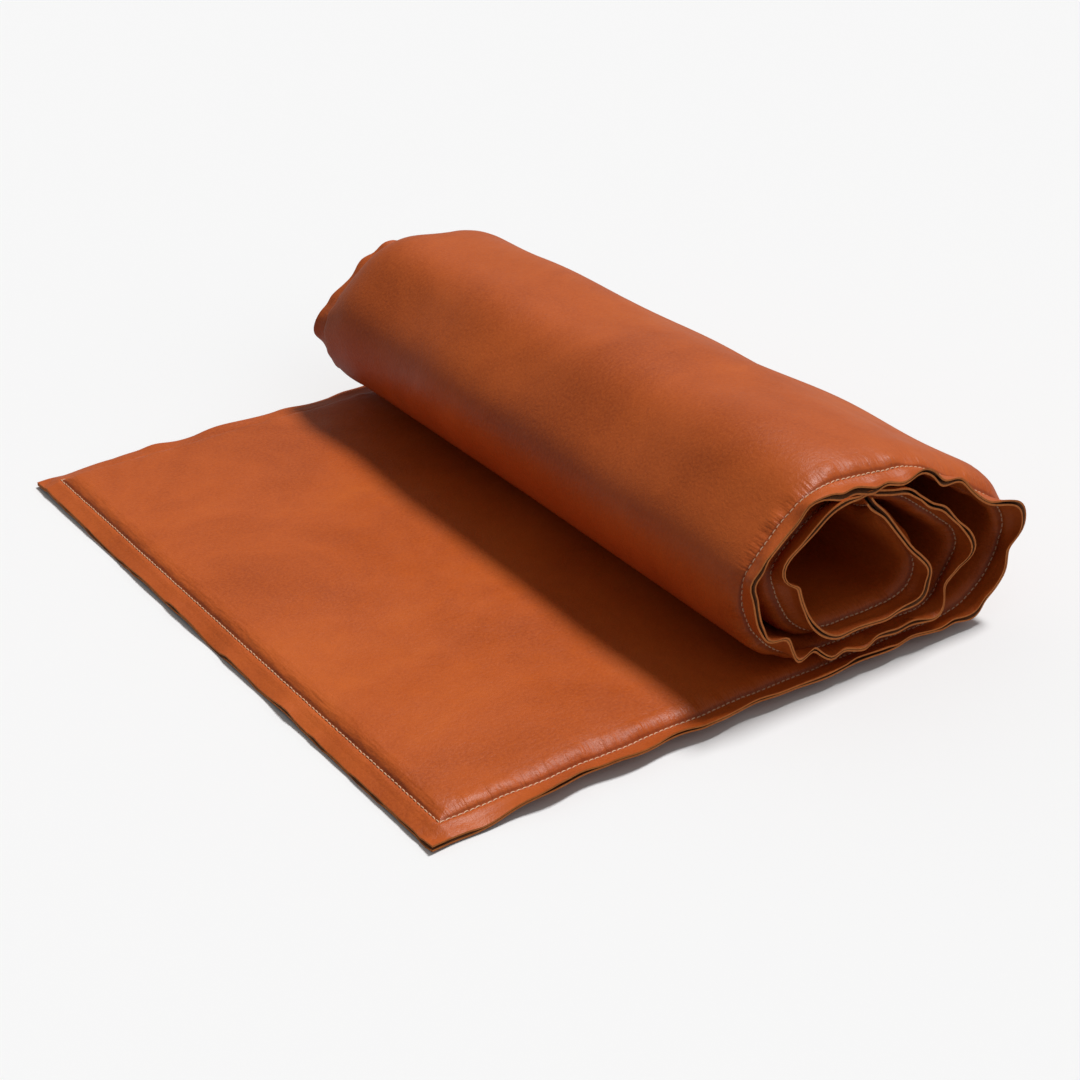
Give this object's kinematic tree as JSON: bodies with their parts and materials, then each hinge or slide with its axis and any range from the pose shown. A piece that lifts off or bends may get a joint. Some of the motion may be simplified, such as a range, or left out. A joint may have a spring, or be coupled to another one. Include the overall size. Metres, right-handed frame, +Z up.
{
  "type": "padded leather roll mat",
  "caption": "Padded leather mat, stitched round its edge, lying open at the front and rolled up loosely towards the back.",
  "frame": {"origin": "on the floor, at the middle of the whole part's footprint", "axes": "+X from the open front edge towards the roll, +Y across the mat along the roll, +Z up"},
  "size_m": [0.5068, 0.6, 0.1535],
  "materials": {
    "leather": "semi-gloss, fine grain",
    "padding": "matt wadding",
    "thread": "waxed thread"
  },
  "bodies": {
    "bed": {"bed_top_hide": "leather", "bed_bottom_hide": "leather", "bed_padding": "padding"},
    "front_1": {"front_1_top_hide": "leather", "front_1_bottom_hide": "leather", "front_1_padding": "padding"},
    "front_2": {"front_2_top_hide": "leather", "front_2_bottom_hide": "leather", "front_2_padding": "padding"},
    "front_3": {"front_3_top_hide": "leather", "front_3_bottom_hide": "leather", "front_3_padding": "padding"},
    "front_4": {"front_4_top_hide": "leather", "front_4_bottom_hide": "leather", "front_4_padding": "padding"},
    "front_5": {"front_5_top_hide": "leather", "front_5_bottom_hide": "leather", "front_5_padding": "padding"},
    "front_6": {"front_6_top_hide": "leather", "front_6_bottom_hide": "leather", "front_6_padding": "padding"},
    "turn_1": {"turn_1_top_hide": "leather", "turn_1_bottom_hide": "leather", "turn_1_padding": "padding"},
    "turn_2": {"turn_2_top_hide": "leather", "turn_2_bottom_hide": "leather", "turn_2_padding": "padding"},
    "turn_3": {"turn_3_top_hide": "leather", "turn_3_bottom_hide": "leather", "turn_3_padding": "padding"},
    "turn_4": {"turn_4_top_hide": "leather", "turn_4_bottom_hide": "leather", "turn_4_padding": "padding"},
    "turn_5": {"turn_5_top_hide": "leather", "turn_5_bottom_hide": "leather", "turn_5_padding": "padding"},
    "roll": {"roll_1_top_hide": "leather", "roll_2_top_hide": "leather", "roll_3_top_hide": "leather", "roll_4_top_hide": "leather", "roll_5_top_hide": "leather", "roll_6_top_hide": "leather", "roll_7_top_hide": "leather", "roll_8_top_hide": "leather", "roll_9_top_hide": "leather", "roll_10_top_hide": "leather", "roll_end_top_hide": "leather", "roll_1_bottom_hide": "leather", "roll_2_bottom_hide": "leather", "roll_3_bottom_hide": "leather", "roll_4_bottom_hide": "leather", "roll_5_bottom_hide": "leather", "roll_6_bottom_hide": "leather", "roll_7_bottom_hide": "leather", "roll_8_bottom_hide": "leather", "roll_9_bottom_hide": "leather", "roll_10_bottom_hide": "leather", "roll_end_bottom_hide": "leather", "roll_padding": "padding"}
  },
  "joints": [
    {"name": "front_curl_1", "type": "hinge", "parent": "bed", "child": "front_1", "pos_m": [0.03698, 0, 0.015], "axis": [0, 1, 0], "range_deg": [0, 34]},
    {"name": "front_curl_2", "type": "hinge", "parent": "front_1", "child": "front_2", "pos_m": [-0.01142, 0, 0.015], "axis": [0, 1, 0], "range_deg": [0, 34]},
    {"name": "front_curl_3", "type": "hinge", "parent": "front_2", "child": "front_3", "pos_m": [-0.05982, 0, 0.015], "axis": [0, 1, 0], "range_deg": [0, 34]},
    {"name": "front_curl_4", "type": "hinge", "parent": "front_3", "child": "front_4", "pos_m": [-0.10822, 0, 0.015], "axis": [0, 1, 0], "range_deg": [0, 34]},
    {"name": "front_curl_5", "type": "hinge", "parent": "front_4", "child": "front_5", "pos_m": [-0.15662, 0, 0.015], "axis": [0, 1, 0], "range_deg": [0, 34]},
    {"name": "front_curl_6", "type": "hinge", "parent": "front_5", "child": "front_6", "pos_m": [-0.20502, 0, 0.015], "axis": [0, 1, 0], "range_deg": [0, 34]},
    {"name": "turn_open_1", "type": "hinge", "parent": "bed", "child": "turn_1", "pos_m": [0.18708, 0, 0], "axis": [0, 1, 0], "range_deg": [0, 14.85]},
    {"name": "turn_open_2", "type": "hinge", "parent": "turn_1", "child": "turn_2", "pos_m": [0.22052, 0, 0.00887], "axis": [0, 1, 0], "range_deg": [0, 29.7]},
    {"name": "turn_open_3", "type": "hinge", "parent": "turn_2", "child": "turn_3", "pos_m": [0.24518, 0, 0.03314], "axis": [0, 1, 0], "range_deg": [0, 29.7]},
    {"name": "turn_open_4", "type": "hinge", "parent": "turn_3", "child": "turn_4", "pos_m": [0.25341, 0, 0.05839], "axis": [0, 1, 0], "range_deg": [0, 29.7]},
    {"name": "turn_open_5", "type": "hinge", "parent": "turn_4", "child": "turn_5", "pos_m": [0.24841, 0, 0.07854], "axis": [0, 1, 0], "range_deg": [0, 29.7]},
    {"name": "turn_open_6", "type": "hinge", "parent": "turn_5", "child": "roll", "pos_m": [0.23408, 0, 0.09356], "axis": [0, 1, 0], "range_deg": [0, 14.85]}
  ],
  "couplings": [
    {"joint": "front_curl_2", "follows": "front_curl_1", "ratio": 1},
    {"joint": "front_curl_3", "follows": "front_curl_1", "ratio": 1},
    {"joint": "front_curl_4", "follows": "front_curl_1", "ratio": 1},
    {"joint": "front_curl_5", "follows": "front_curl_1", "ratio": 1},
    {"joint": "front_curl_6", "follows": "front_curl_1", "ratio": 1},
    {"joint": "turn_open_2", "follows": "turn_open_1", "ratio": 2},
    {"joint": "turn_open_3", "follows": "turn_open_1", "ratio": 2},
    {"joint": "turn_open_4", "follows": "turn_open_1", "ratio": 2},
    {"joint": "turn_open_5", "follows": "turn_open_1", "ratio": 2},
    {"joint": "turn_open_6", "follows": "turn_open_1", "ratio": 1}
  ]
}
